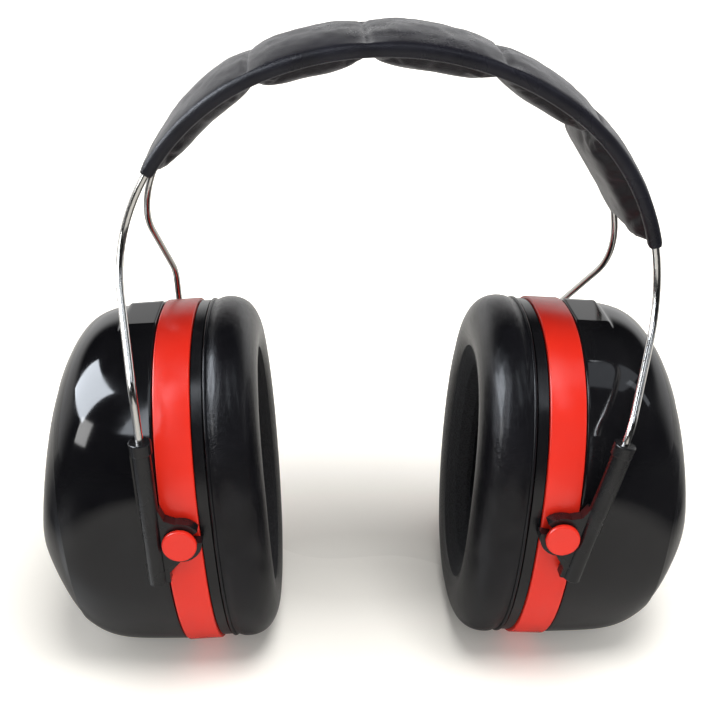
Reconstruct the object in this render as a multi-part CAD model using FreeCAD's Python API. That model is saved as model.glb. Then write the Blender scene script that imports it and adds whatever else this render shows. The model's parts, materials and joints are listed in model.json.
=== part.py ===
"""Earmuff hearing protector: two double-walled ear cups on a pair of sprung steel wires.

Row frame: millimetres, +Z up, +X towards the cup on the right seen from the front, -Y towards the
front. The origin lies on the table, under the middle of the whole object. It stands on its two cups,
with the left pair of stems pulled out further than the right pair, so the headband leans.

Every cup piece is built once in a cup frame (x points outboard from the mid-plane of the red ring,
z up, the origin in the ring's centre). Every stem is built in a stem frame (origin at the cup's pivot,
z up along the wire). The wires and the cover are built in a headband frame (x = 0 halfway between the
wire ends).
"""
import FreeCAD, Part
import math
import os

from FreeCAD import Vector

os.makedirs("parts", exist_ok=True)

# ---- driving dimensions, millimetres and degrees ------------------------------------------------
# ear cup outline: an oval whose corners are fuller than an ellipse's
CUP_HALF_HEIGHT = 55.0
CUP_HALF_DEPTH = 45.0
OVAL_POWER = 2.3
OVAL_POINTS = 32

# red trim ring
RING_WIDTH = 10.4
RING_WALL = 2.0
RING_EDGE_BREAK = 0.35
RING_STAND_PROUD = 0.5
SEAM_GAP = 0.35

# outer shell: a shoulder that ends at a crease, a domed outer face, and a blank oval recess in it
SHELL_APEX = 46.4
SHELL_APEX_DROP = 24.0
SHELL_WALL = 2.2
SHELL_TOP_DRAFT = 0.02
SHELL_BOTTOM_DRAFT = 0.02
SHELL_TOP_POWER = 5.4
SHELL_BOTTOM_POWERS = (6.6, 0.9)
SHELL_DEPTH_POWER = 0.187
CREASE_STATION = 0.815
SHOULDER_STATIONS = (0.0, 0.1, 0.22, 0.36, 0.48, 0.58, 0.67, 0.75, CREASE_STATION)
FACE_DOME_POWER = 5.6
FACE_SHARES = (1.0, 0.97, 0.93, 0.87, 0.79, 0.66, 0.45, 0.2, 0.03)
RECESS_SHARE = 0.6
RECESS_DEPTH = 0.9
LUG_LENGTH = 11.0
LUG_HALF_DEPTH = 11.0
LUG_DROP = 3.0
TONGUE_WALL = 1.8
TONGUE_CLEARANCE = 0.15

# inner shell: visible lip, face plate and the bowl that holds the ear
LIP_WIDTH = 2.9
LIP_STEP_IN = 0.9
FACE_WALL = 1.8
BOWL_MOUTH_STEP_IN = 12.0
BOWL_WALL = 1.8
BOWL_FLOOR_GAP = 10.2
BOWL_GAP_TOP = 1.8
BOWL_GAP_BOTTOM = 7.2
BOWL_GAP_SIDE = 8.6

# foams and cushion
SPACER_FOAM = 4.0
LINER_FOAM = 5.0
SOFT_CLEARANCE = 0.3
PLATE_WALL = 1.7
PLATE_STEP_IN = 3.0
PLATE_RIM_WALL = 1.2
PLATE_RIM_LENGTH = 3.2
CUSHION_THICK = 13.0
CUSHION_SKIN = 1.0
CORE_CLEARANCE = 0.1
EAR_HALF_HEIGHT = 31.0
EAR_HALF_DEPTH = 21.0

# pivots
PIVOT_ABOVE_CENTRE = 3.8
STUD_NECK_RADIUS = 3.0
STUD_HEAD_RADIUS = 4.9
STUD_HEAD_THICK = 1.7
PIVOT_CLEARANCE = 0.05
FACE_CLEARANCE = 0.35

# stems, which slide on the wires
CLIP_THICK = 3.6
CLIP_RADIUS = 6.2
CLIP_GAP_FROM = 147.0
CLIP_GAP_TO = 182.0
WEB_TOP = 10.5
WEB_SHOULDER_X = 3.7
WEB_SHOULDER_Z = 7.4
WEB_HEEL_X = 3.8
WEB_HEEL_Z = -9.7
STEM_RADIUS = 2.6
STEM_SIDE_CLEARANCE = 0.05
STEM_TOP = 32.3
STEM_FOOT = 13.4
STEM_RIB = 0.45
COLLAR_RADIUS = 3.15
COLLAR_LENGTH = 3.8
BORE_FOOT = 8.0

# wires
WIRE_RADIUS = 1.1
WIRE_RUNNING_CLEARANCE = 0.05
WIRE_END_ABOVE_BORE_FOOT = 1.0
STEM_LEAN = 8.4
STRAIGHT_ABOVE_STEM = 0.5
STEM_BEND_RADIUS = 10.0
FLARE_BEND_SETBACK = 11.5
ARCH_TOP_RADIUS = 88.0
ARCH_SIDE_RADIUS = 64.0
ARCH_TOP_HALF_ANGLE = 28.0
ARCH_END_ANGLE = 76.0
ARCH_TOP_Z = 186.5
WIRE_HALF_SPACING = 23.0
PIVOT_HALF_SPAN = 54.5
PIVOT_Z_CLOSED = 61.1

# cover over the two wires, and its five foam pads
COVER_HALF_ANGLE = 67.2
COVER_SHIFT = 3.1
COVER_HALF_WIDTH = 25.0
COVER_CROWN = 2.5
COVER_SKIN = 1.6
SLEEVE_WIDTH = 4.1
SLEEVE_HALF_THICK = 2.0
SLEEVE_CLEARANCE = 0.1
COVER_STATIONS = 45
PAD_SEAM_ANGLES = (-33.5, -12.0, 12.0, 33.5)
PAD_SEAM_DEPTH = 3.6
PAD_DEPTHS = (5.4, 6.3, 6.3, 5.4, 6.2)
PAD_STATIONS = 9
PAD_SEAM_GAP = 0.25

# how it stands: stems pulled out from fully closed, and the roll of each cup about its pivot
EXTENSION_LEFT = 11.0
EXTENSION_RIGHT = 0.0
CUP_ROLL = 3.4
FOOT_FLAT = 0.5

# ---- sizes that follow ---------------------------------------------------------------------------
RING_HALF = RING_WIDTH / 2
SHELL_RIM = RING_HALF + SEAM_GAP
LIP_FACE = SHELL_RIM + LIP_WIDTH
BOWL_DEPTH = SHELL_APEX - BOWL_FLOOR_GAP
TONGUE_STEP_IN = RING_WALL + TONGUE_CLEARANCE
STUD_FACE = CUP_HALF_DEPTH + 2 * FACE_CLEARANCE + CLIP_THICK
STEM_DEPTH = CUP_HALF_DEPTH + FACE_CLEARANCE + STEM_RADIUS
STEM_OFFSET = STUD_HEAD_RADIUS + STEM_RADIUS + STEM_SIDE_CLEARANCE
BORE_RADIUS = WIRE_RADIUS + WIRE_RUNNING_CLEARANCE


# ---- helpers -------------------------------------------------------------------------------------
def signed_power(value, power):
    return math.copysign(abs(value) ** power, value)


def oval(x, top, bottom, depth):
    """Closed oval wire in the plane at x, from bottom to top in z and from -depth to depth in y."""
    points = []
    middle, half = (top + bottom) / 2, (top - bottom) / 2
    for i in range(OVAL_POINTS):
        angle = 2 * math.pi * i / OVAL_POINTS
        y = depth * signed_power(math.cos(angle), 2 / OVAL_POWER)
        z = middle + half * signed_power(math.sin(angle), 2 / OVAL_POWER)
        points.append(Vector(x, y, z))
    curve = Part.BSplineCurve()
    curve.interpolate(Points=points, PeriodicFlag=True)
    return Part.Wire([curve.toShape()])


def cup_oval(x, step_in):
    """The cup's own outline at x, stepped in on every side."""
    half = CUP_HALF_HEIGHT - step_in
    return oval(x, half, -half, CUP_HALF_DEPTH - step_in)


def solid_through(wires, ruled):
    return Part.makeLoft(wires, True, ruled)


def cup_block(x_from, x_to, step_in):
    return solid_through([cup_oval(x_from, step_in), cup_oval(x_to, step_in)], True)


def cup_band(x_from, x_to, step_in, wall):
    return cup_block(x_from, x_to, step_in).cut(cup_block(x_from - 1, x_to + 1, step_in + wall))


def turned_about_y(shape, degrees, centre):
    shape = shape.copy()
    shape.rotate(centre, Vector(0, 1, 0), degrees)
    return shape


def mirrored_in_x(shape):
    return shape.mirror(Vector(0, 0, 0), Vector(1, 0, 0))


def mirrored_in_y(shape):
    return shape.mirror(Vector(0, 0, 0), Vector(0, 1, 0))


def cylinder_along_y(radius, y_from, y_to, x=0.0, z=0.0):
    low, high = min(y_from, y_to), max(y_from, y_to)
    return Part.makeCylinder(radius, high - low, Vector(x, low, z), Vector(0, 1, 0))


def prism_along_y(points, y_from, y_to):
    """Extrude a closed polygon of (x, z) points from one y to another."""
    corners = [Vector(x, y_from, z) for x, z in points]
    face = Part.Face(Part.makePolygon(corners + corners[:1]))
    return face.extrude(Vector(0, y_to - y_from, 0))


# ---- ear cup, in the cup frame -------------------------------------------------------------------
def shell_extent(t, step_in):
    """x, top, bottom and half depth of the outer shell's shoulder at t, from 0 at its rim."""
    x = SHELL_RIM + t * (SHELL_APEX - step_in - SHELL_RIM)
    half_height = CUP_HALF_HEIGHT - RING_STAND_PROUD - step_in
    half_depth = CUP_HALF_DEPTH - RING_STAND_PROUD - step_in
    reach_up = half_height + SHELL_APEX_DROP - SHELL_TOP_DRAFT * (x - SHELL_RIM)
    reach_down = half_height - SHELL_APEX_DROP - SHELL_BOTTOM_DRAFT * (x - SHELL_RIM)
    rise, flatten = SHELL_BOTTOM_POWERS
    top = -SHELL_APEX_DROP + reach_up * (1 - t ** SHELL_TOP_POWER)
    bottom = -SHELL_APEX_DROP - reach_down * (1 - t ** rise) ** (1 / flatten)
    return x, top, bottom, half_depth * (1 - t) ** SHELL_DEPTH_POWER


def face_extent(share, step_in):
    """x, top, bottom and half depth of the domed outer face, from share 1 at its crease to 0."""
    x, top, bottom, depth = shell_extent(CREASE_STATION, step_in)
    middle, half = (top + bottom) / 2, (top - bottom) / 2 * share
    dome = x + (SHELL_APEX - step_in - x) * (1 - share ** FACE_DOME_POWER)
    return dome, middle + half, middle - half, depth * share


def shell_inside_at(x):
    """Top, bottom and half depth of the outer shell's inside at x."""
    crease_x = shell_extent(CREASE_STATION, SHELL_WALL)[0]
    apex_x = SHELL_APEX - SHELL_WALL
    if x < crease_x:
        t = (x - SHELL_RIM) / (apex_x - SHELL_RIM)
        return shell_extent(t, SHELL_WALL)[1:]
    share = (1 - (x - crease_x) / (apex_x - crease_x)) ** (1 / FACE_DOME_POWER)
    return face_extent(share, SHELL_WALL)[1:]


def shell_block(step_in):
    shoulder = solid_through([oval(*shell_extent(t, step_in)) for t in SHOULDER_STATIONS], False)
    face = solid_through([oval(*face_extent(share, step_in)) for share in FACE_SHARES], False)
    return shoulder.fuse(face)


def recess_block():
    """What is taken out of the outer face for its blank oval recess, whose floor is flat."""
    _, top, bottom, depth = face_extent(RECESS_SHARE, 0)
    floor, outside = SHELL_APEX - RECESS_DEPTH, SHELL_APEX + SHELL_WALL
    return solid_through([oval(floor, top, bottom, depth), oval(outside, top, bottom, depth)], True)


def make_outer_shell():
    shell = shell_block(0).cut(shell_block(SHELL_WALL))
    lug_top = CUP_HALF_HEIGHT - RING_STAND_PROUD / 2
    lug_foot = SHELL_RIM + LUG_LENGTH
    lug_face = [(SHELL_RIM, lug_top - LUG_DROP), (SHELL_RIM, lug_top), (lug_foot - LUG_DROP, lug_top),
                (lug_foot, lug_top - LUG_DROP)]
    lug = prism_along_y(lug_face, -LUG_HALF_DEPTH, LUG_HALF_DEPTH)
    lug = lug.cut(shell_block(SHELL_WALL / 2))
    tongue = cup_band(SEAM_GAP / 2, SHELL_RIM + SHELL_WALL, TONGUE_STEP_IN, TONGUE_WALL)
    return shell.fuse([lug, tongue]).cut(recess_block()).removeSplitter()


def bowl_outline(x, step_in):
    """Outline of the bowl's surface at x, narrowing towards its floor."""
    narrowing = ((x + LIP_FACE) / (BOWL_DEPTH + LIP_FACE)) ** 3
    mouth_height = CUP_HALF_HEIGHT - BOWL_MOUTH_STEP_IN
    mouth_depth = CUP_HALF_DEPTH - BOWL_MOUTH_STEP_IN
    shell_top, shell_bottom, shell_depth = shell_inside_at(BOWL_DEPTH)
    top = mouth_height + narrowing * (shell_top - BOWL_GAP_TOP - mouth_height)
    bottom = -mouth_height + narrowing * (shell_bottom + BOWL_GAP_BOTTOM + mouth_height)
    depth = mouth_depth + narrowing * (shell_depth - BOWL_GAP_SIDE - mouth_depth)
    return oval(x, top - step_in, bottom + step_in, depth - step_in)


def bowl_block(step_in, x_from, x_to):
    stations = [x_from + (x_to - x_from) * i / 6 for i in range(7)]
    return solid_through([bowl_outline(x, step_in) for x in stations], True)


def make_inner_shell():
    tongue = cup_band(-LIP_FACE + FACE_WALL / 2, -SEAM_GAP / 2, TONGUE_STEP_IN, TONGUE_WALL)
    lip = cup_band(-LIP_FACE, -SHELL_RIM, LIP_STEP_IN, TONGUE_STEP_IN + TONGUE_WALL - LIP_STEP_IN)
    face = cup_block(-LIP_FACE, -LIP_FACE + FACE_WALL, LIP_STEP_IN)
    bowl = bowl_block(0, -LIP_FACE, BOWL_DEPTH)
    hollow = bowl_block(BOWL_WALL, -LIP_FACE, BOWL_DEPTH - BOWL_WALL)
    mouth = bowl_outline(-LIP_FACE, BOWL_WALL)
    mouth_cut = Part.Face(mouth).extrude(Vector(-1, 0, 0))
    return face.fuse([bowl, tongue, lip]).cut(hollow).cut(mouth_cut).removeSplitter()


def make_spacer_foam():
    """Foam between the two shells, lying against the outer one."""
    lining = shell_block(SHELL_WALL + SOFT_CLEARANCE).cut(shell_block(SHELL_WALL + SPACER_FOAM))
    behind_tongue = Part.makeBox(SHELL_APEX, 3 * CUP_HALF_DEPTH, 3 * CUP_HALF_HEIGHT,
                                 Vector(SHELL_RIM + SHELL_WALL + SOFT_CLEARANCE,
                                        -1.5 * CUP_HALF_DEPTH, -1.5 * CUP_HALF_HEIGHT))
    bowl_space = bowl_block(-SOFT_CLEARANCE, -LIP_FACE, BOWL_DEPTH + SOFT_CLEARANCE)
    return lining.common(behind_tongue).cut(bowl_space)


def make_liner_foam():
    """Foam that lines the bowl behind the ear."""
    front = PLATE_RIM_LENGTH - LIP_FACE + SOFT_CLEARANCE
    outside = BOWL_WALL + SOFT_CLEARANCE
    block = bowl_block(outside, front, BOWL_DEPTH - outside)
    hollow = bowl_block(outside + LINER_FOAM, front - 1, BOWL_DEPTH - outside - LINER_FOAM)
    return block.cut(hollow)


def make_trim_ring():
    outside = [cup_oval(-RING_HALF, RING_EDGE_BREAK), cup_oval(-RING_HALF + RING_EDGE_BREAK, 0),
               cup_oval(RING_HALF - RING_EDGE_BREAK, 0), cup_oval(RING_HALF, RING_EDGE_BREAK)]
    ring = solid_through(outside, True).cut(cup_block(-RING_HALF - 1, RING_HALF + 1, RING_WALL))
    hole = cylinder_along_y(STUD_NECK_RADIUS + PIVOT_CLEARANCE, -CUP_HALF_DEPTH - 1,
                            CUP_HALF_DEPTH + 1, 0, PIVOT_ABOVE_CENTRE)
    return ring.cut(hole)


def make_front_stud():
    """Pivot stud: a neck pressed into the ring, and the round head that shows."""
    neck = cylinder_along_y(STUD_NECK_RADIUS, -CUP_HALF_DEPTH + RING_WALL, -STUD_FACE,
                            0, PIVOT_ABOVE_CENTRE)
    head = cylinder_along_y(STUD_HEAD_RADIUS, -STUD_FACE, -STUD_FACE - STUD_HEAD_THICK,
                            0, PIVOT_ABOVE_CENTRE)
    rim = [edge for edge in head.Edges
           if abs(edge.CenterOfMass.y + STUD_FACE + STUD_HEAD_THICK) < 0.01]
    head = head.makeFillet(STUD_HEAD_THICK / 3, rim)
    return neck.fuse(head)


def make_cushion_plate():
    back = -LIP_FACE
    plate = cup_block(back - PLATE_WALL, back, PLATE_STEP_IN)
    rim_step_in = BOWL_WALL + SOFT_CLEARANCE
    rim_end = back + PLATE_RIM_LENGTH
    rim = bowl_block(rim_step_in, back - PLATE_WALL / 2, rim_end)
    through = bowl_block(rim_step_in + PLATE_RIM_WALL, back - PLATE_WALL - 1, rim_end + 1)
    return plate.fuse(rim).cut(through).removeSplitter()


def cushion_form(step_in):
    """Rounded oval ring round the ear opening, stepped in from the cushion's surface."""
    back = -LIP_FACE - PLATE_WALL - SOFT_CLEARANCE
    thick = CUSHION_THICK - step_in
    outside = [(0.0, 1.6), (0.12, 0.7), (0.3, 0.3), (0.5, 0.8), (0.7, 2.6), (0.86, 6.0), (0.96, 9.5),
               (1.0, 12.5)]
    block = solid_through([cup_oval(back - thick * t, step + step_in) for t, step in outside], True)
    inside = [(-0.1, 1.5), (0.15, 0.8), (0.45, 0.0), (0.75, 1.2), (0.92, 3.6), (1.1, 8.0)]
    hole = solid_through([oval(back - thick * t, EAR_HALF_HEIGHT + step + step_in,
                               -EAR_HALF_HEIGHT - step - step_in, EAR_HALF_DEPTH + step + step_in)
                          for t, step in inside], True)
    return block.cut(hole)


def make_cushion():
    """Vinyl envelope of the sealing cushion, open at its back where it is welded to the plate."""
    return cushion_form(0).cut(cushion_form(CUSHION_SKIN))


def make_cushion_core():
    return cushion_form(CUSHION_SKIN + CORE_CLEARANCE)


# ---- stem, in the stem frame ---------------------------------------------------------------------
def make_front_stem():
    """Wire guide with a collar at its top and a C-shaped clip that snaps round the stud's neck."""
    tube = Part.makeCylinder(STEM_RADIUS, STEM_TOP + STEM_FOOT - COLLAR_LENGTH / 2,
                             Vector(STEM_OFFSET, -STEM_DEPTH, -STEM_FOOT))
    foot_edge = [edge for edge in tube.Edges if abs(edge.CenterOfMass.z + STEM_FOOT) < 0.01]
    tube = tube.makeChamfer(STEM_RIB, foot_edge)
    collar = Part.makeCylinder(COLLAR_RADIUS, COLLAR_LENGTH,
                               Vector(STEM_OFFSET, -STEM_DEPTH, STEM_TOP - COLLAR_LENGTH))
    collar_edges = [edge for edge in collar.Edges if edge.Curve.TypeId == "Part::GeomCircle"]
    collar = collar.makeFillet(STEM_RIB, collar_edges)
    rib_side = STEM_RADIUS + STEM_RIB
    rib_foot = STEM_RADIUS - STEM_FOOT
    rib = Part.makeBox(rib_side, STEM_RIB * 2, STEM_TOP - COLLAR_LENGTH - rib_foot,
                       Vector(STEM_OFFSET, -STEM_DEPTH - STEM_RIB, rib_foot))
    clip_back = -CUP_HALF_DEPTH - FACE_CLEARANCE
    clip_front = clip_back - CLIP_THICK
    clip = cylinder_along_y(CLIP_RADIUS, clip_back, clip_front)
    gap_reach = 2 * CLIP_RADIUS
    gap = [(0, 0)]
    for degrees in (CLIP_GAP_FROM, CLIP_GAP_TO):
        angle = math.radians(degrees)
        gap.append((gap_reach * math.cos(angle), gap_reach * math.sin(angle)))
    clip = clip.cut(prism_along_y(gap, clip_back + 1, clip_front - 1))
    stem_side = STEM_OFFSET - STEM_RADIUS
    stem_end = STEM_RIB - STEM_FOOT
    web = [(STEM_OFFSET, WEB_TOP), (stem_side, WEB_TOP), (WEB_SHOULDER_X, WEB_SHOULDER_Z),
           (0, CLIP_RADIUS - STEM_RIB), (0, -CLIP_RADIUS + STEM_RIB), (WEB_HEEL_X, WEB_HEEL_Z),
           (WEB_HEEL_X, stem_end), (STEM_OFFSET, stem_end)]
    web = prism_along_y(web, clip_back, clip_front)
    stem = tube.fuse([collar, rib, clip, web])
    neck_hole = cylinder_along_y(STUD_NECK_RADIUS + PIVOT_CLEARANCE, clip_back + 1, clip_front - 1)
    bore = Part.makeCylinder(BORE_RADIUS, STEM_TOP + BORE_FOOT + 1,
                             Vector(STEM_OFFSET, -STEM_DEPTH, -BORE_FOOT))
    return stem.cut(neck_hole).cut(bore).removeSplitter()


# ---- headband, in the headband frame -------------------------------------------------------------
def wire_direction():
    """Unit vector up the straight end of a right-hand wire."""
    lean = math.radians(STEM_LEAN)
    return Vector(math.sin(lean), 0, math.cos(lean))


def pivot_in_headband(extension):
    """Pivot of the right cup in the headband frame, its stems pulled out by extension."""
    closed = Vector(PIVOT_HALF_SPAN, 0, PIVOT_Z_CLOSED)
    return closed - wire_direction() * extension


def arch_point(degrees, offset, y=0.0):
    """Point on the wires' arch at an angle from the top, moved outwards by offset."""
    angle = math.radians(abs(degrees))
    join = math.radians(ARCH_TOP_HALF_ANGLE)
    centre_x, centre_z, radius = 0.0, ARCH_TOP_Z - ARCH_TOP_RADIUS, ARCH_TOP_RADIUS
    if angle > join:
        step = ARCH_TOP_RADIUS - ARCH_SIDE_RADIUS
        centre_x, centre_z = step * math.sin(join), centre_z + step * math.cos(join)
        radius = ARCH_SIDE_RADIUS
    x = centre_x + (radius + offset) * math.sin(angle)
    z = centre_z + (radius + offset) * math.cos(angle)
    return Vector(math.copysign(x, degrees), y, z)


def arc_through(a, b, c):
    return Part.Arc(a, b, c).toShape()


def line_between(a, b):
    return Part.LineSegment(a, b).toShape()


def corner_arc(corner, towards_a, towards_b, setback):
    """Arc that rounds a corner, touching both runs at the setback from it."""
    start = corner + towards_a * setback
    end = corner + towards_b * setback
    bisector = (towards_a + towards_b).normalize()
    half_turn = (math.pi - towards_a.getAngle(towards_b)) / 2
    radius = setback / math.tan(half_turn)
    to_centre = radius / math.cos(half_turn)
    middle = corner + bisector * (to_centre - radius)
    return arc_through(start, middle, end), start, end


def right_wire_run(y_side, wire_foot):
    """Edges from the lower end of a wire to the end of its arch, on the right."""
    up = wire_direction()
    across = Vector(up.z, 0, -up.x)
    foot_line = Vector(PIVOT_HALF_SPAN, y_side * STEM_DEPTH, PIVOT_Z_CLOSED) + across * STEM_OFFSET
    arch_end = arch_point(ARCH_END_ANGLE, 0, y_side * WIRE_HALF_SPACING)
    end_angle = math.radians(ARCH_END_ANGLE)
    along_arch = Vector(math.cos(end_angle), 0, -math.sin(end_angle))
    flare = arch_end + along_arch * FLARE_BEND_SETBACK
    straight_top = foot_line + up * (STEM_TOP + STRAIGHT_ABOVE_STEM)
    setback = STEM_BEND_RADIUS / 2
    for _ in range(20):
        knee = straight_top + up * setback
        slope = (flare - knee).normalize()
        setback = STEM_BEND_RADIUS * math.tan(up.getAngle(slope) / 2)
    knee = straight_top + up * setback
    slope = (flare - knee).normalize()
    knee_arc, knee_low, knee_high = corner_arc(knee, up * -1, slope, setback)
    flare_arc, flare_low, _ = corner_arc(flare, slope * -1, along_arch * -1, FLARE_BEND_SETBACK)
    return [line_between(foot_line + up * wire_foot, knee_low), knee_arc,
            line_between(knee_high, flare_low), flare_arc]


def arch_edges(y, end_angle, start_angle):
    """Arcs of the wires' arch from start_angle (negative) to end_angle, from left to right."""
    joins = [-ARCH_TOP_HALF_ANGLE, ARCH_TOP_HALF_ANGLE]
    stops = [start_angle] + joins + [end_angle]
    edges = []
    for low, high in zip(stops, stops[1:]):
        middle = (low + high) / 2
        edges.append(arc_through(arch_point(low, 0, y), arch_point(middle, 0, y),
                                 arch_point(high, 0, y)))
    return edges


def tube_along(edges, radius, start, direction):
    profile = Part.Wire([Part.makeCircle(radius, start, direction)])
    return Part.Wire(Part.__sortEdges__(edges)).makePipeShell([profile], True, False)


def make_wire(y_side):
    """One spring wire: straight ends, a flare on each side and the arch over the head."""
    wire_foot = -BORE_FOOT + WIRE_END_ABOVE_BORE_FOOT
    right = right_wire_run(y_side, wire_foot)
    left = [mirrored_in_x(edge) for edge in right]
    arch = arch_edges(y_side * WIRE_HALF_SPACING, ARCH_END_ANGLE, -ARCH_END_ANGLE)
    edges = right + arch + left
    start = right[0].Vertexes[0].Point
    wire = tube_along(edges, WIRE_RADIUS, start, wire_direction())
    length = sum(edge.Length for edge in edges)
    expected = math.pi * WIRE_RADIUS ** 2 * length
    print("wire length", round(length, 1), "volume", round(wire.Volume, 1), "expected", round(expected, 1))
    return wire


def band_section(degrees, outline):
    """Closed polygon across the arch at an angle, from (y, offset) points."""
    corners = [arch_point(degrees, offset, y) for y, offset in outline]
    return Part.Wire(Part.makePolygon(corners + corners[:1]).Edges)


def crown(degrees, y):
    """Height of the cover's top surface above its edges, which fades out towards its ends."""
    along = (degrees - COVER_SHIFT) / COVER_HALF_ANGLE
    return COVER_CROWN * (1 - (y / COVER_HALF_WIDTH) ** 2) * (1 - along ** 4)


def skin_outline(degrees):
    """Cross-section of the cover's skin at an angle, as (y, offset) points."""
    inside = COVER_HALF_WIDTH - SLEEVE_WIDTH
    across = [COVER_HALF_WIDTH * k / 4 for k in range(-4, 5)]
    top = [(y, SLEEVE_HALF_THICK + crown(degrees, y)) for y in across]
    under_across = [inside * k / 3 for k in range(3, -4, -1)]
    under = [(y, SLEEVE_HALF_THICK - COVER_SKIN + crown(degrees, y)) for y in under_across]
    right_edge = [(COVER_HALF_WIDTH, -SLEEVE_HALF_THICK), (inside, -SLEEVE_HALF_THICK)]
    left_edge = [(-inside, -SLEEVE_HALF_THICK), (-COVER_HALF_WIDTH, -SLEEVE_HALF_THICK)]
    return top + right_edge + under + left_edge


def make_cover_skin():
    """Outer skin of the cover, with a sleeve along each edge that holds a wire."""
    first, last = COVER_SHIFT - COVER_HALF_ANGLE, COVER_SHIFT + COVER_HALF_ANGLE
    angles = [first + (last - first) * i / (COVER_STATIONS - 1) for i in range(COVER_STATIONS)]
    skin = solid_through([band_section(angle, skin_outline(angle)) for angle in angles], True)
    for y in (-WIRE_HALF_SPACING, WIRE_HALF_SPACING):
        edges = arch_edges(y, ARCH_END_ANGLE, -ARCH_END_ANGLE)
        angle = math.radians(ARCH_END_ANGLE)
        direction = Vector(math.cos(angle), 0, math.sin(angle))
        sleeve = tube_along(edges, WIRE_RADIUS + SLEEVE_CLEARANCE,
                            arch_point(-ARCH_END_ANGLE, 0, y), direction)
        skin = skin.cut(sleeve)
    return skin


def make_pad(from_angle, to_angle, pad_depth):
    """Foam insert of one pocket of the cover, thickest in its middle."""
    margin = math.degrees(PAD_SEAM_GAP / ARCH_SIDE_RADIUS)
    low, high = from_angle + COVER_SHIFT + margin, to_angle + COVER_SHIFT - margin
    half = COVER_HALF_WIDTH - SLEEVE_WIDTH - SOFT_CLEARANCE
    roof = SLEEVE_HALF_THICK - COVER_SKIN - SOFT_CLEARANCE
    sections = []
    for i in range(PAD_STATIONS):
        t = i / (PAD_STATIONS - 1)
        angle = low + (high - low) * t
        bulge = 1 - abs(2 * t - 1) ** 3
        depth = PAD_SEAM_DEPTH + (pad_depth - PAD_SEAM_DEPTH) * bulge
        top = [(half * k / 3, roof + crown(angle, half * k / 3)) for k in range(-3, 4)]
        under = [(half, -SLEEVE_HALF_THICK), (0.6 * half, -depth), (-0.6 * half, -depth),
                 (-half, -SLEEVE_HALF_THICK)]
        sections.append(band_section(angle, top + under))
    return solid_through(sections, True)


# ---- how the sub-assemblies stand ----------------------------------------------------------------
pivot_right = pivot_in_headband(EXTENSION_RIGHT)
pivot_left = pivot_in_headband(EXTENSION_LEFT)
pivot_left.x = -pivot_left.x
BAND_LEAN = math.degrees(math.atan2(pivot_right.z - pivot_left.z, pivot_right.x - pivot_left.x))
PIVOT_X = pivot_right.distanceToPoint(pivot_left) / 2
roll = math.radians(CUP_ROLL)
ring_corner_x = RING_HALF - RING_EDGE_BREAK
PIVOT_Z = ((CUP_HALF_HEIGHT + PIVOT_ABOVE_CENTRE) * math.cos(roll) + ring_corner_x * math.sin(roll)
           - FOOT_FLAT)
STEM_TURN = {"left": BAND_LEAN - STEM_LEAN, "right": BAND_LEAN + STEM_LEAN}
SIDE_SIGN = {"left": -1, "right": 1}


def place_headband(shape):
    middle = (pivot_right + pivot_left) / 2
    shape = turned_about_y(shape, BAND_LEAN, middle)
    shape.translate(Vector(0, 0, PIVOT_Z) - middle)
    return shape


def place_cup_piece(shape, side):
    """Mirror a cup piece for the left, roll it about the pivot and stand it on the table."""
    if side == "left":
        shape = mirrored_in_x(shape)
    shape = turned_about_y(shape, SIDE_SIGN[side] * CUP_ROLL, Vector(0, 0, PIVOT_ABOVE_CENTRE))
    shape.translate(Vector(SIDE_SIGN[side] * PIVOT_X, 0, PIVOT_Z - PIVOT_ABOVE_CENTRE))
    return shape.cut(below_table)


def place_stem(shape, side):
    if side == "left":
        shape = mirrored_in_x(shape)
    shape = turned_about_y(shape, STEM_TURN[side], Vector(0, 0, 0))
    shape.translate(Vector(SIDE_SIGN[side] * PIVOT_X, 0, PIVOT_Z))
    return shape


span = 6 * CUP_HALF_HEIGHT
below_table = Part.makeBox(span, span, span, Vector(-span / 2, -span / 2, -span))


def write(node, shape):
    solids = shape.Solids
    shape = solids[0] if len(solids) == 1 else Part.makeCompound(solids)
    print(node, "solids", len(solids), "volume", round(shape.Volume), "valid", shape.isValid())
    shape.exportStep("parts/" + node + ".step")


CUP_PIECES = {
    "outer_shell": make_outer_shell(),
    "inner_shell": make_inner_shell(),
    "spacer_foam": make_spacer_foam(),
    "liner_foam": make_liner_foam(),
    "trim_ring": make_trim_ring(),
    "front_stud": make_front_stud(),
    "rear_stud": mirrored_in_y(make_front_stud()),
    "cushion_plate": make_cushion_plate(),
    "cushion": make_cushion(),
    "cushion_core": make_cushion_core(),
}
STEM_PIECES = {"front_stem": make_front_stem(), "rear_stem": mirrored_in_y(make_front_stem())}

write("front_wire", place_headband(make_wire(-1)))
write("rear_wire", place_headband(make_wire(1)))
write("cover_skin", place_headband(make_cover_skin()))
pad_edges = (-COVER_HALF_ANGLE,) + PAD_SEAM_ANGLES + (COVER_HALF_ANGLE,)
for number, (low, high, depth) in enumerate(zip(pad_edges, pad_edges[1:], PAD_DEPTHS), start=1):
    write("cover_pad_" + str(number), place_headband(make_pad(low, high, depth)))
for side in ("left", "right"):
    for name, piece in CUP_PIECES.items():
        write(side + "_" + name, place_cup_piece(piece, side))
    for name, piece in STEM_PIECES.items():
        write(side + "_" + name, place_stem(piece, side))

print("pivots at x", round(PIVOT_X, 3), "z", round(PIVOT_Z, 3), "band lean", round(BAND_LEAN, 3))
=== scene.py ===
# %% [markdown]
# # An earmuff hearing protector, cell by cell
#
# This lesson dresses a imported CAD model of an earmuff: two deep oval cups, each with a coral red ring
# round its waist, hang from a pair of spring wires under a padded vinyl cover. The CAD model fixes every
# size and place. Blender adds the shapes that CAD keeps plain (soft cushions, blown-up pads, moulded
# edges) and the finish of each surface. The first cell loads the CAD model as a frame that nothing moves.

# %% Load the frame
import json
import math

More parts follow.
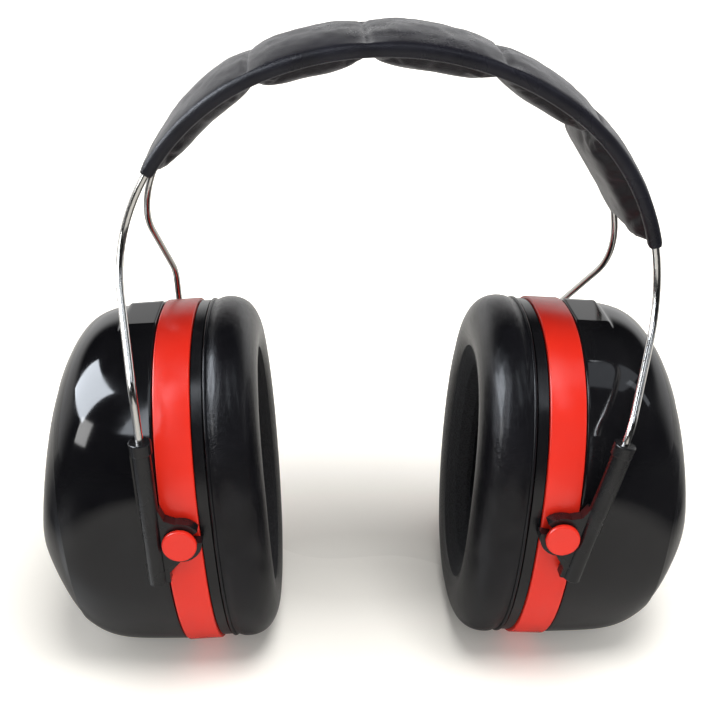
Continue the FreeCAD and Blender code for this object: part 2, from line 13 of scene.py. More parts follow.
import bmesh
import bpy
import numpy as np
from mathutils import Matrix, Vector, noise


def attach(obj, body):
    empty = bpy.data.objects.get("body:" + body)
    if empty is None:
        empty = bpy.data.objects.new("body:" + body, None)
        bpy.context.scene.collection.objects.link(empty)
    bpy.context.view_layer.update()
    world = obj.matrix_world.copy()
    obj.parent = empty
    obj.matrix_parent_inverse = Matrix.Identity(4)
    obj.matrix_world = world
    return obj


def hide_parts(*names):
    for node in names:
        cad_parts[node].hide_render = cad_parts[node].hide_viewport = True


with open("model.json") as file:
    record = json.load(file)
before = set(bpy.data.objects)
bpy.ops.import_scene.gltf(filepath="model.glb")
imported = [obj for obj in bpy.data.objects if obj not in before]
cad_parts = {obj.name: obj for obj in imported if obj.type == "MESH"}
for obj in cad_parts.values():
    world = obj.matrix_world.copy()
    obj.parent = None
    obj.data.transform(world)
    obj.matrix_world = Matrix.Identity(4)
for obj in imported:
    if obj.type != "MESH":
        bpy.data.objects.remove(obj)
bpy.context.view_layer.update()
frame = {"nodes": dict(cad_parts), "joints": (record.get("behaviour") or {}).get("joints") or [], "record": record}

# %% [markdown]
# ## Frames for the sub-assemblies
#
# Each cup is rolled a few degrees about its pivot, and the headband leans because the left stems are
# pulled out further. Modelling is easier in a frame of the piece's own, in millimetres: x pointing
# outboard from the ring's centre for a cup, or across the head for the headband. The record holds the
# pivots, the slides' directions and the way each cushion faces, and those give both kinds of frame. For
# the left cup the frame is a mirror image, so one description serves both cups.

# %% Cup frames and headband frame
MM = 0.001
REAR = Vector((0, 1, 0))
SIDES = {"left": -1, "right": 1}
PIVOT_ABOVE_CENTRE = 3.8
PIVOT_HALF_SPAN = 54.5
PIVOT_Z_CLOSED = 61.1
joints = {joint["name"]: joint for joint in frame["joints"]}
mounts = {mount["name"]: mount for mount in frame["record"]["mounts"]}


def frame_of(across, rear, up, origin):
    columns = [list(across * MM), list(rear * MM), list(up * MM)]
    matrix = Matrix(columns).transposed().to_4x4()
    matrix.translation = origin
    return matrix


def cup_frame(side):
    outboard = -Vector(mounts[side + "_ear_seal"]["axis"])
    up = outboard.cross(REAR) * SIDES[side]
    pivot = Vector(joints[side + "_cup_pivot"]["pos_m"])
    return frame_of(outboard, REAR, up, pivot - up * (PIVOT_ABOVE_CENTRE * MM))


def headband_frame():
    up_right = -Vector(joints["right_front_slide"]["axis"])
    up_left = -Vector(joints["left_front_slide"]["axis"])
    up = (up_right + up_left).normalized()
    across = REAR.cross(up)
    lean = up_right.angle(up)
    extension = -joints["right_front_slide"]["range_m"][0] / MM
    pivot_x = PIVOT_HALF_SPAN - extension * math.sin(lean)
    pivot_z = PIVOT_Z_CLOSED - extension * math.cos(lean)
    pivot = Vector(joints["right_cup_pivot"]["pos_m"])
    return frame_of(across, REAR, up, pivot - (across * pivot_x + up * pivot_z) * MM)


CUP_FRAMES = {side: cup_frame(side) for side in SIDES}
BAND_FRAME = headband_frame()
print("headband frame:", BAND_FRAME)

# %% [markdown]
# ## Building meshes from loops
#
# Most pieces here are loops of points stacked one after another, like hoops in a basket. One helper
# joins any such stack with four-sided faces, and closes each end with a fan round a pole or with a flat
# cap. The faces are then made to point outwards, which a mirrored frame would otherwise undo.
# A piece that stands on the floor can have its lowest points pressed flat there, as feet.

# %% Loop helper
def link_mesh(name, mesh):
    piece = bpy.data.objects.new(name, mesh)
    bpy.context.scene.collection.objects.link(piece)
    return piece


def faced_outwards(mesh, weld=None):
    """Turn every face of a closed mesh outwards, first merging any points closer than weld."""
    form = bmesh.new()
    form.from_mesh(mesh)
    if weld:
        bmesh.ops.remove_doubles(form, verts=form.verts, dist=weld)
    bmesh.ops.recalc_face_normals(form, faces=form.faces)
    form.to_mesh(mesh)
    form.free()
    mesh.polygons.foreach_set("use_smooth", [True] * len(mesh.polygons))
    return mesh


def mesh_from(name, points, faces, matrix, feet=False):
    placed = [matrix @ Vector(point) for point in points]
    if feet:
        placed = [Vector((point.x, point.y, max(point.z, 0.0))) for point in placed]
    mesh = bpy.data.meshes.new(name)
    mesh.from_pydata(placed, [], faces)
    return faced_outwards(mesh)


def stack_faces(count, size, ring_shut):
    """Four-sided faces between neighbouring loops of one size. Shut joins the last to the first."""
    faces = []
    for row in range(count if ring_shut else count - 1):
        low, high = row * size, (row + 1) % count * size
        for k in range(size):
            n = (k + 1) % size
            faces.append((low + k, low + n, high + n, high + k))
    return faces


def stacked(name, loops, matrix, poles=(False, False), feet=False):
    """Mesh through equal loops of points. A pole closes that end with a fan round a middle point."""
    size = len(loops[0])
    points = [point for loop in loops for point in loop]
    faces = stack_faces(len(loops), size, False)
    for end, pole in enumerate(poles):
        start = end * (len(loops) - 1) * size
        if pole:
            middle = np.mean(np.array(loops[-end], float), axis=0)
            points.append(tuple(middle))
            faces += [(start + k, start + (k + 1) % size, len(points) - 1) for k in range(size)]
        else:
            faces.append(tuple(range(start, start + size)))
    return mesh_from(name, points, faces, matrix, feet)


def finish_piece(piece, body, material, nodes):
    piece.data.materials.clear()
    piece.data.materials.append(material)
    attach(piece, body)
    if nodes:
        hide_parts(*nodes)
    return piece


# %% [markdown]
# ## Materials
#
# Every finish on this object is a plain one, so the interest is in how it breaks up light: faint flow
# lines and dust on glossy plastic, a fine leather grain in the vinyl, drawing marks along the wire, pores
# in the foam. A small builder sets up the shader and a noise-driven bump in object coordinates, which
# need no UV map and stay put when a joint moves.

# %% Node helpers
def wired(tree, kind, values=(), **settings):
    """A new node. Each pair in values is an input and its value, or the output to link to it."""
    made = tree.nodes.new(kind)
    for key, value in settings.items():
        setattr(made, key, value)
    for socket, value in values:
        if isinstance(value, bpy.types.NodeSocket):
            tree.links.new(value, made.inputs[socket])
        else:
            made.inputs[socket].default_value = value
    return made


def maths(tree, operation, *values):
    """One step of arithmetic on numbers or outputs."""
    return wired(tree, "ShaderNodeMath", enumerate(values), operation=operation).outputs[0]


# %% Material builder
class Finish:
    """A material with a Principled shader, and short ways to add the nodes it needs."""

    def __init__(self, name, colour, roughness, **sockets):
        self.material = bpy.data.materials.new(name)
        self.material.use_nodes = True
        self.tree = self.material.node_tree
        self.shader = self.tree.nodes["Principled BSDF"]
        self.set("Base Color", (*colour, 1))
        self.set("Roughness", roughness)
        for socket, value in sockets.items():
            self.set(socket, value)
        self.place = self.node("ShaderNodeTexCoord").outputs["Object"]

    def node(self, kind, values=(), **settings):
        return wired(self.tree, kind, values, **settings)

    def stretched(self, scale, shift=(0.0, 0.0, 0.0)):
        """Object coordinates scaled differently along each axis, then shifted."""
        values = [("Vector", self.place), ("Scale", scale), ("Location", shift)]
        return self.node("ShaderNodeMapping", values).outputs["Vector"]

    def noise(self, scale, detail=2.0, vector=None):
        values = [("Vector", vector or self.place), ("Scale", scale), ("Detail", detail)]
        return self.node("ShaderNodeTexNoise", values).outputs["Fac"]

    def cells(self, scale, feature="F1"):
        values = [("Vector", self.place), ("Scale", scale)]
        return self.node("ShaderNodeTexVoronoi", values, feature=feature).outputs["Distance"]

    def ramp(self, value, low, high, from_value=0.3, to_value=0.7):
        """Spread a value between two results, numbers or colours."""
        values = [("Value", value), ("From Min", from_value), ("From Max", to_value)]
        if not isinstance(low, tuple):
            values += [("To Min", low), ("To Max", high)]
            return self.node("ShaderNodeMapRange", values).outputs["Result"]
        share = self.node("ShaderNodeMapRange", values).outputs["Result"]
        colours = [("Factor", share), ("A", (*low, 1)), ("B", (*high, 1))]
        return self.node("ShaderNodeMix", colours, data_type="RGBA").outputs["Result"]

    def maths(self, operation, *values):
        return maths(self.tree, operation, *values)

    def added(self, first, second, share):
        """first plus a share of second."""
        return self.maths("MULTIPLY_ADD", second, share, first)

    def set(self, socket, value):
        """Link an output to one of the shader's inputs, or give the input a value."""
        if isinstance(value, bpy.types.NodeSocket):
            self.tree.links.new(value, self.shader.inputs[socket])
        else:
            self.shader.inputs[socket].default_value = value

    def bump(self, height, distance, strength=1.0):
        values = [("Height", height), ("Distance", distance), ("Strength", strength)]
        self.set("Normal", self.node("ShaderNodeBump", values).outputs["Normal"])


# %% Plastics
def shell_gloss():
    """Black shell plastic: mirror-like, with faint waviness and a trace of dust in the roughness."""
    finish = Finish("shell_gloss_black", (0.004, 0.004, 0.005), 0.07, IOR=1.5)
    finish.set("Roughness", finish.ramp(finish.noise(160, 4), 0.05, 0.13, 0.35, 0.75))
    finish.set("Base Color", finish.ramp(finish.noise(35, 3), (0.003, 0.003, 0.004), (0.008, 0.008, 0.009)))
    finish.bump(finish.added(finish.noise(28, 1), finish.noise(900, 2), 0.06), 0.00005, 0.5)
    return finish.material


def ring_red():
    """Coral red plastic with a satin skin."""
    finish = Finish("ring_coral_red", (0.63, 0.021, 0.009), 0.26, IOR=1.48)
    finish.set("Base Color", finish.ramp(finish.noise(45, 3), (0.615, 0.018, 0.008), (0.645, 0.022, 0.01)))
    finish.set("Roughness", finish.ramp(finish.noise(300, 3), 0.23, 0.27))
    finish.bump(finish.noise(2600, 2), 0.00003, 0.35)
    return finish.material


def stem_satin():
    """Black moulded plastic of the stems, a little polished where fingers slide them."""
    finish = Finish("stem_satin_black", (0.008, 0.008, 0.009), 0.36, IOR=1.5)
    finish.set("Roughness", finish.ramp(finish.noise(90, 3), 0.2, 0.34))
    blotch = finish.noise(140, 3)
    finish.set("Base Color", finish.ramp(blotch, (0.004, 0.004, 0.005), (0.008, 0.008, 0.009)))
    finish.bump(finish.noise(3200, 2), 0.00004, 0.4)
    return finish.material


def lip_satin():
    """Inner shell and cushion plate: the same black resin, unpolished."""
    finish = Finish("lip_satin_black", (0.005, 0.005, 0.006), 0.22, IOR=1.5)
    finish.set("Roughness", finish.ramp(finish.noise(120, 3), 0.17, 0.28))
    finish.bump(finish.noise(2400, 2), 0.00003, 0.3)
    return finish.material


# %% Wire, vinyl and foam
def wire_steel():
    """Bright drawn spring steel, with fine marks along its length."""
    finish = Finish("wire_bright_steel", (0.82, 0.8, 0.77), 0.16, Metallic=1.0)
    along = finish.stretched((1.0, 1.0, 0.08))
    finish.set("Roughness", finish.ramp(finish.noise(2500, 3, along), 0.1, 0.26))
    finish.set("Base Color", finish.ramp(finish.noise(60, 3), (0.74, 0.72, 0.69), (0.86, 0.85, 0.83)))
    finish.bump(finish.noise(4200, 2, along), 0.00002, 0.5)
    return finish.material


def vinyl(name, colour, roughness, grain, depth, sheen=0.0):
    """Soft black vinyl sheet: pebbled leather grain over slow creases, with a faint sheen if worn."""
    finish = Finish(name, colour, roughness[0], IOR=1.38)
    paler = tuple(1.7 * channel for channel in colour)
    finish.set("Roughness", finish.ramp(finish.noise(70, 3), *roughness))
    finish.set("Base Color", finish.ramp(finish.noise(110, 4), colour, paler))
    pebbles = finish.cells(grain, feature="DISTANCE_TO_EDGE")
    raised = finish.ramp(pebbles, 0.0, 1.0, 0.0, 0.12)
    finish.bump(finish.added(raised, finish.noise(240, 3), 0.8), depth, 0.5)
    finish.set("Sheen Weight", sheen)
    finish.set("Sheen Roughness", 0.4)
    finish.set("Sheen Tint", (0.93, 0.92, 1.0, 1))
    return finish.material


def foam(name, colour):
    """Open-cell foam: soft, matt and full of small pores, with painted shade darkening the middle of each pore."""
    finish = Finish(name, colour, 0.95, IOR=1.3)
    pores = finish.cells(1500)
    # Painted shade: the colour falls to under half towards each pore's middle, where the bump sinks it.
    finish.set("Base Color", finish.ramp(pores, tuple(0.45 * c for c in colour), colour, 0.1, 0.6))
    finish.bump(pores, 0.0004, 0.8)
    return finish.material


SHELL = shell_gloss()
RED = ring_red()
STEM = stem_satin()
LIP = lip_satin()
STEEL = wire_steel()
CUSHION_VINYL = vinyl("cushion_vinyl", (0.004, 0.004, 0.005), (0.13, 0.21), grain=1800, depth=0.00004)
COVER_VINYL = vinyl("cover_vinyl", (0.006, 0.006, 0.009), (0.24, 0.36), grain=1500, depth=0.00006,
                    sheen=0.08)
PAD_VINYL = vinyl("pad_vinyl", (0.007, 0.0065, 0.008), (0.28, 0.42), grain=1500, depth=0.00007, sheen=0.12)
FOAM = foam("liner_foam", (0.02, 0.02, 0.022))
print("finishes made:", len(bpy.data.materials))

# %% [markdown]
# ## The cup's outline
#
# Seen from the side, the cup is an oval with slightly full corners. A superellipse describes it with one
# number more than an ellipse: the power. Everything round the cup, from the ring to the cushion, uses the
# same outline stepped in or out, so the pieces nest as they do on the real product.

# %% Outline functions
CUP_HALF_HEIGHT = 55.0
CUP_HALF_DEPTH = 45.0
EAR_HALF_HEIGHT = 31.0
EAR_HALF_DEPTH = 21.0
OVAL_POWER = 2.3
ROUND = 256


def signed_power(value, power):
    return math.copysign(abs(value) ** power, value)


def oval_loop(x, top, bottom, depth, count=ROUND):
    """Points round an oval at x, as (x, y, z) in millimetres."""
    middle, half = (top + bottom) / 2, (top - bottom) / 2
    loop = []
    for k in range(count):
        angle = 2 * math.pi * k / count
        y = depth * signed_power(math.cos(angle), 2 / OVAL_POWER)
        z = middle + half * signed_power(math.sin(angle), 2 / OVAL_POWER)
        loop.append((x, y, z))
    return loop


def cup_loop(x, step_in, count=ROUND):
    half = CUP_HALF_HEIGHT - step_in
    return oval_loop(x, half, -half, CUP_HALF_DEPTH - step_in, count)


def smooth_step(low, high, value):
    t = min(max((value - low) / (high - low), 0.0), 1.0)
    return t * t * (3 - 2 * t)


# %% [markdown]
# ## Outer shell
#
# The shell starts at the ring and runs almost straight. Top and bottom then curve over in one sweep to
# the outer edge, which sits low. Front and rear turn to a crease instead, and the outer face is what lies
# inside that crease. Powers give the top edge, the bottom edge and the depth at each station, so the
# shoulder and the face are one stack of loops each. A blank oval recess is sunk in the face, and beside
# the ring a small step is moulded on top. Where the shell meets the floor it has a narrow flat.

# %% Outer shell's outline
RING_HALF = 5.2
SEAM_GAP = 0.35
SHELL_RIM = RING_HALF + SEAM_GAP
OUTER_EDGE_DROP = 12.0
SHELL_WALL = 2.2
SHELL_STEP_IN = 0.5
SHELL_DRAFT = 0.02
RIM_BEVEL = 0.3
TOP_POWERS = (4.78, 1.066)
BOTTOM_POWERS = (6.15, 1.6)
SHOULDER_POWER = 0.1
FACE_POWER = 0.3
OUTER_EDGE = 47.9
CREASE_STATION, CREASE_GROOVE, CREASE_DIP = 0.708, 0.012, 0.35
RECESS_STATION, RECESS_EDGE, RECESS_DEPTH = 0.93, 0.004, 0.5
LUG_FOOT, LUG_HALF_DEPTH, LUG_SLOPE = 16.5, 11.0, 1.6
LUG_ABOVE, LUG_TOP = 40, CUP_HALF_HEIGHT - 0.25


def shell_extent(t, step_in):
    """x, top, bottom and half depth of the shell at t, from 0 at its rim to 1 at its outer edge."""
    x = SHELL_RIM + t * (OUTER_EDGE - step_in - SHELL_RIM)
    half_height = CUP_HALF_HEIGHT - SHELL_STEP_IN - step_in
    half_depth = CUP_HALF_DEPTH - SHELL_STEP_IN - step_in
    draft = SHELL_DRAFT * (x - SHELL_RIM)
    swept_up = (1 - t ** TOP_POWERS[0]) ** TOP_POWERS[1]
    swept_down = (1 - t ** BOTTOM_POWERS[0]) ** BOTTOM_POWERS[1]
    top = -OUTER_EDGE_DROP + (half_height + OUTER_EDGE_DROP - draft) * swept_up
    bottom = -OUTER_EDGE_DROP - (half_height - OUTER_EDGE_DROP - draft) * swept_down
    depth = half_depth * (1 - min(t, CREASE_STATION)) ** SHOULDER_POWER
    if t > CREASE_STATION:
        depth *= ((1 - t) / (1 - CREASE_STATION)) ** FACE_POWER
    return x, top, bottom, depth


def face_extent(t):
    """As shell_extent, for the face past its crease, with the crease's groove and the recess."""
    x, top, bottom, depth = shell_extent(t, 0)
    past = (t - CREASE_STATION) / CREASE_GROOVE
    x -= CREASE_DIP * past * math.exp(1 - past)
    x -= RECESS_DEPTH * smooth_step(RECESS_STATION, RECESS_STATION + RECESS_EDGE, t)
    return x, top, bottom, depth


print("crease of the shell at:", [round(value, 1) for value in shell_extent(CREASE_STATION, 0)])

# %% Outer shell's mesh
def with_lug(loop):
    """Raise the small step on top of the shell beside the ring."""
    raised = []
    for x, y, z in loop:
        if z > LUG_ABOVE and abs(y) < LUG_HALF_DEPTH + LUG_SLOPE and x < LUG_FOOT + LUG_SLOPE:
            along = 1 - smooth_step(LUG_FOOT - 0.9, LUG_FOOT + 0.3, x)
            across = 1 - smooth_step(LUG_HALF_DEPTH - 1.0, LUG_HALF_DEPTH, abs(y))
            z += max(LUG_TOP - z, 0) * along * across
        raised.append((x, y, z))
    return raised


def shoulder_stations():
    """Stations from the rim to the crease, closer together near the crease."""
    bend = CREASE_STATION - np.array([0.012, 0.006, 0.002, 0.0])
    return list(np.linspace(0.006, CREASE_STATION - 0.02, 52)) + list(bend)


def face_stations():
    """Stations from the crease to the outer edge, closer in the groove, at the recess and at the end."""
    groove = CREASE_STATION + np.array([0.002, 0.005, 0.009, 0.014, 0.02, 0.027, 0.036])
    slope = np.linspace(CREASE_STATION + 0.05, RECESS_STATION - 0.006, 18)
    edge = RECESS_STATION + np.array([-0.002, 0.0, 0.001, 0.002, 0.003, 0.004, 0.006])
    turned = 1 - (1 - RECESS_STATION - 0.01) * (np.linspace(1, 0, 16)[:-1]) ** 2.2
    return list(groove) + list(slope) + list(edge) + list(turned)


def outer_shell_mesh(side):
    inside = [oval_loop(*shell_extent(t, SHELL_WALL)) for t in np.linspace(0.985, 0.0, 16)]
    rim = [cup_loop(SHELL_RIM, SHELL_WALL - RIM_BEVEL), cup_loop(SHELL_RIM, SHELL_STEP_IN + RIM_BEVEL)]
    shoulder = [with_lug(oval_loop(*shell_extent(t, 0))) for t in shoulder_stations()]
    face = [oval_loop(*face_extent(t)) for t in face_stations()]
    return stacked(side + "_outer_shell_form", inside + rim + shoulder + face, CUP_FRAMES[side],
                   poles=(True, True), feet=True)


for side in SIDES:
    shell = link_mesh(side + "_shell", outer_shell_mesh(side))
    finish_piece(shell, side + "_cup", SHELL, [side + "_outer_shell"])
print("outer shell faces:", len(shell.data.polygons))

# %% [markdown]
# ## Trim ring and cushion hem, with Geometry Nodes
#
# Both are one profile carried round the same oval, which is what Geometry Nodes do well. The tree makes a
# circle of points, presses it into the oval with the power rule, and sweeps a rounded rectangle along it.
# Its inputs are the half height, the half depth, the profile's width and its thickness, so the same tree
# makes the red ring and the thin welded bead where the cushion's skin meets its plate.

# %% Band tree
def band_tree(material):
    tree = bpy.data.node_groups.new("oval_band_" + material.name, "GeometryNodeTree")
    inputs = {}
    for name in ("Half Height", "Half Depth", "Band Width", "Band Thickness", "Edge Radius"):
        inputs[name] = tree.interface.new_socket(name, in_out="INPUT", socket_type="NodeSocketFloat")
    tree.interface.new_socket("Geometry", in_out="OUTPUT", socket_type="NodeSocketGeometry")
    sizes = tree.nodes.new("NodeGroupInput").outputs

    def node(kind, values=(), **settings):
        return wired(tree, kind, values, **settings)

    turn = maths(tree, "MULTIPLY", node("GeometryNodeInputIndex").outputs[0], 2 * math.pi / ROUND)

    def pressed(wave, reach):
        """Reach times the wave's value, raised to the outline's power and keeping its sign."""
        value = maths(tree, wave, turn)
        size = maths(tree, "POWER", maths(tree, "ABSOLUTE", value), 2 / OVAL_POWER)
        return maths(tree, "MULTIPLY", maths(tree, "MULTIPLY", maths(tree, "SIGN", value), size), reach)

    path = node("GeometryNodeCurvePrimitiveCircle", [("Resolution", ROUND)])
    place = node("ShaderNodeCombineXYZ", [("Y", pressed("COSINE", sizes["Half Depth"])),
                                          ("Z", pressed("SINE", sizes["Half Height"]))])
    path = node("GeometryNodeSetPosition", [("Geometry", path.outputs["Curve"]),
                                            ("Position", place.outputs[0])])
    tilt = node("GeometryNodeSetCurveNormal", [("Curve", path.outputs["Geometry"])], mode="MINIMUM_TWIST")
    profile = node("GeometryNodeCurvePrimitiveQuadrilateral",
                   [("Width", sizes["Band Width"]), ("Height", sizes["Band Thickness"])])
    rounded = node("GeometryNodeFilletCurve",
                   [("Curve", profile.outputs[0]), ("Radius", sizes["Edge Radius"]), ("Count", 4),
                    ("Limit Radius", True)], mode="POLY")
    swept = node("GeometryNodeCurveToMesh", [("Curve", tilt.outputs[0]),
                                             ("Profile Curve", rounded.outputs[0])])
    solid = node("GeometryNodeRealizeInstances", [("Geometry", swept.outputs["Mesh"])])
    painted = node("GeometryNodeSetMaterial", [("Geometry", solid.outputs[0]), ("Material", material)])
    tree.links.new(painted.outputs[0], tree.nodes.new("NodeGroupOutput").inputs[0])
    return tree, inputs


WELD = 0.0000005


def band_mesh(name, tree, inputs, sizes, matrix, x):
    """Run a band tree on an empty mesh and keep its result as a plain mesh in the shared frame."""
    holder = link_mesh(name + "_holder", bpy.data.meshes.new(name))
    modifier = holder.modifiers.new("band", "NODES")
    modifier.node_group = tree
    for label, value in sizes.items():
        modifier[inputs[label].identifier] = value
    shown = holder.evaluated_get(bpy.context.evaluated_depsgraph_get())
    mesh = bpy.data.meshes.new_from_object(shown)
    bpy.data.objects.remove(holder)
    mesh.transform(matrix @ Matrix.Translation((x, 0, 0)))
    faced_outwards(mesh, WELD)
    for vert in mesh.vertices:
        vert.co.z = max(vert.co.z, 0.0)
    return mesh


RING_WALL = 2.0
RING_SIZES = {"Half Height": CUP_HALF_HEIGHT - RING_WALL / 2, "Half Depth": CUP_HALF_DEPTH - RING_WALL / 2,
              "Band Width": 2 * RING_HALF, "Band Thickness": RING_WALL, "Edge Radius": 0.45}
ring_tree, ring_inputs = band_tree(RED)
for side in SIDES:
    mesh = band_mesh(side + "_ring", ring_tree, ring_inputs, RING_SIZES, CUP_FRAMES[side], 0.0)
    ring = link_mesh(side + "_ring", mesh)
    finish_piece(ring, side + "_cup", RED, [side + "_trim_ring"])
print("right ring box, in metres:", tuple(ring.bound_box[0]), tuple(ring.bound_box[6]))

# %% Cushion hems
HEM_X, HEM_STEP_IN = -9.35, 0.75
HEM_SIZES = {"Half Height": CUP_HALF_HEIGHT - HEM_STEP_IN, "Half Depth": CUP_HALF_DEPTH - HEM_STEP_IN,
             "Band Width": 0.95, "Band Thickness": 0.9, "Edge Radius": 0.4}
hem_tree, hem_inputs = band_tree(CUSHION_VINYL)
for side in SIDES:
    mesh = band_mesh(side + "_hem", hem_tree, hem_inputs, HEM_SIZES, CUP_FRAMES[side], HEM_X)
    finish_piece(link_mesh(side + "_cushion_hem", mesh), side + "_cup", CUSHION_VINYL, [])
print("hem faces:", len(mesh.polygons))

# %% [markdown]
# ## CAD pieces that only need a finish
#
# Wires, stems, the inner shell and the cushion plate already have their true shape, so they keep their
# CAD mesh and get a better material in its slot. The cushion's core is closed in, and the finish is all
# it needs.

# %% Finishes on CAD nodes
def paint(node, material):
    mesh = frame["nodes"][node].data
    mesh.materials.clear()
    mesh.materials.append(material)


CUP_FINISHES = {"inner_shell": LIP, "cushion_plate": LIP, "front_stem": STEM, "rear_stem": STEM,
                "cushion_core": FOAM}
for node in ("front_wire", "rear_wire"):
    paint(node, STEEL)
for side in SIDES:
    for piece, material in CUP_FINISHES.items():
        paint(side + "_" + piece, material)
print("finished CAD nodes:", 2 + len(CUP_FINISHES) * len(SIDES))

# %% [markdown]
# ## Pivot studs
#
# A stud is turned about its own axis: a neck through the stem's clip and a head that shows as a flat red
# button. The profile gives the head a rolled rim and a very slight dish, so that it catches the light
# like a moulded part and not like a punched disc. The rear stud is the same shape, facing the other way.

# %% Studs
STUD_PROFILE = ((3.0, 43.2), (3.0, 49.32), (4.45, 49.36), (4.78, 49.5), (4.9, 49.75), (4.9, 50.35),
                (4.8, 50.7), (4.55, 50.92), (4.25, 51.0), (3.9, 50.98), (3.4, 50.92), (2.0, 50.86),
                (0.8, 50.84))


def stud_mesh(name, side, facing):
    angles = np.linspace(0, 2 * math.pi, 64, endpoint=False)
    loops = []
    for radius, reach in STUD_PROFILE:
        loops.append([(radius * math.cos(a), facing * reach, PIVOT_ABOVE_CENTRE + radius * math.sin(a))
                      for a in angles])
    return stacked(name, loops, CUP_FRAMES[side], poles=(True, True))


for side in SIDES:
    for place, facing in (("front", -1), ("rear", 1)):
        name = side + "_" + place
        stud = link_mesh(name + "_button", stud_mesh(name + "_button_form", side, facing))
        finish_piece(stud, side + "_cup", RED, [name + "_stud"])
print("stud faces:", len(stud.data.polygons))

# %% [markdown]
# ## Blowing up the soft pieces
#
# Vinyl over foam gets its shape from inside: the foam pushes the skin outwards, and the skin puckers
# where a weld holds it. Blender's cloth with pressure does the same. The helper takes a form that starts
# a little slack, holds its welded points still, lets the skin grow by a few percent so it has spare
# length to wrinkle with, and caps how far any point may go, so the piece keeps its size. Cloth behaves
# best at the size of furniture, so the form is blown up larger than life and then scaled back.

# %% Cloth helper
CLOTH_SCALE = 0.012
PUFF_FRAMES = 18


def puffed(name, points, faces, held, pressure, growth, cap):
    """Points of a closed form after its skin has been blown up, in the units they came in."""
    mesh = bpy.data.meshes.new(name + "_slack")
    mesh.from_pydata([Vector(point) * CLOTH_SCALE for point in points], [], faces)
    holder = link_mesh(name + "_slack", faced_outwards(mesh))
    holder.vertex_groups.new(name="held").add(held, 1.0, "REPLACE")
    cloth = holder.modifiers.new("cloth", "CLOTH")
    cloth.settings.use_pressure = True
    cloth.settings.uniform_pressure_force = pressure
    cloth.settings.vertex_group_mass = "held"
    cloth.settings.shrink_min = -growth
    cloth.settings.quality = 6
    cloth.settings.tension_stiffness = cloth.settings.compression_stiffness = 25
    cloth.settings.bending_stiffness = 0.2
    cloth.settings.effector_weights.gravity = 0
    cloth.collision_settings.use_collision = False
    cloth.point_cache.frame_start, cloth.point_cache.frame_end = 1, PUFF_FRAMES
    for step in range(1, PUFF_FRAMES + 1):
        bpy.context.scene.frame_set(step)
    blown = bpy.data.meshes.new_from_object(
        holder.evaluated_get(bpy.context.evaluated_depsgraph_get()))
    moved, furthest = [], 0.0
    for point, vert in zip(points, blown.vertices):
        move = vert.co / CLOTH_SCALE - Vector(point)
        furthest = max(furthest, move.length)
        if move.length > 1e-6:
            move *= cap * math.tanh(move.length / cap) / move.length
        moved.append(tuple(Vector(point) + move))
    bpy.data.objects.remove(holder)
    bpy.context.scene.frame_set(1)
    print(name, "was blown up by", round(furthest, 2), "mm at most, before the cap of", cap)
    return moved


def subdivided(piece, levels):
    smooth = piece.modifiers.new("smooth", "SUBSURF")
    smooth.levels = smooth.render_levels = levels


# %% [markdown]
# ## Sealing cushions
#
# A sealing cushion is a vinyl envelope round a foam ring. It wraps over the edge of its plate, rolls over
# to a soft face and dips into the ear opening. The cross-section is a closed line whose points are given
# as a step in from the cup's outline and as a height above the plate. Both cushions are one moulded
# shape, so it is blown up once, and held where it is welded to the plate.

# %% Cushion form
LIP_WIDTH, PLATE_FACE, CUSHION_SEAT = 2.9, 1.7, 0.3
CUSHION_BACK = -(SHELL_RIM + LIP_WIDTH + PLATE_FACE + CUSHION_SEAT)
CUSHION_REACH = CUP_HALF_HEIGHT - EAR_HALF_HEIGHT
CUSHION_SECTION = ((3.0, 0.0), (2.6, -0.6), (2.4, -1.45), (1.7, -1.65), (1.0, -1.45), (0.75, -0.7),
                   (0.7, 0.3), (0.6, 1.6), (0.5, 3.2), (0.6, 5.0), (1.15, 7.2), (2.3, 9.2), (4.2, 10.9),
                   (6.7, 12.1), (9.4, 12.7), (12.2, 12.8), (15.0, 12.4), (17.6, 11.4), (19.9, 9.8),
                   (21.7, 7.7), (22.8, 5.4), (23.2, 3.2), (22.9, 1.3), (22.0, 0.1), (18.5, 0.05),
                   (14.0, 0.05), (9.0, 0.05), (5.5, 0.05))
CUSHION_ROUND = 120
CUSHION_SLACK = 0.35


def cushion_form():
    points = []
    outer = cup_loop(0, 0, CUSHION_ROUND)
    inner = oval_loop(0, EAR_HALF_HEIGHT, -EAR_HALF_HEIGHT, EAR_HALF_DEPTH, CUSHION_ROUND)
    for step, forward in CUSHION_SECTION:
        share = step / CUSHION_REACH
        for k, (a, b) in enumerate(zip(outer, inner)):
            turn = Vector((a[1], a[2], 0)).normalized()
            place = turn * 3.1 + Vector((0, 0, step * 0.05))
            slack = CUSHION_SLACK * noise.noise(place) if forward > 2 else 0
            x = CUSHION_BACK - forward * (1 + 0.02 * slack)
            points.append((x, (1 - share) * a[1] + share * b[1] + turn.x * slack,
                           (1 - share) * a[2] + share * b[2] + turn.y * slack))
    return points, stack_faces(len(CUSHION_SECTION), CUSHION_ROUND, True)


def cushion_points():
    points, faces = cushion_form()
    held = [i for i in range(len(points)) if CUSHION_SECTION[i // CUSHION_ROUND][1] < 0.4]
    return puffed("cushion", points, faces, held, pressure=3.0, growth=0.015, cap=0.7), faces


# %% Cushions
blown_points, blown_faces = cushion_points()
for side in SIDES:
    mesh = mesh_from(side + "_cushion_form", blown_points, blown_faces, CUP_FRAMES[side])
    cushion = link_mesh(side + "_seal_cushion", mesh)
    subdivided(cushion, 2)
    finish_piece(cushion, side + "_cup", CUSHION_VINYL, [side + "_cushion"])
print("cushion faces before smoothing:", len(blown_faces))

# %% [markdown]
# ## Foam in the bowl
#
# Behind the ear, a soft foam lines the bowl: a thick wall with a rounded front edge and a floor that
# rises a little in the middle. It is one stack of loops that goes up the outside, over the front edge
# and down the inside. Small dents from a noise keep the cut foam from looking turned.

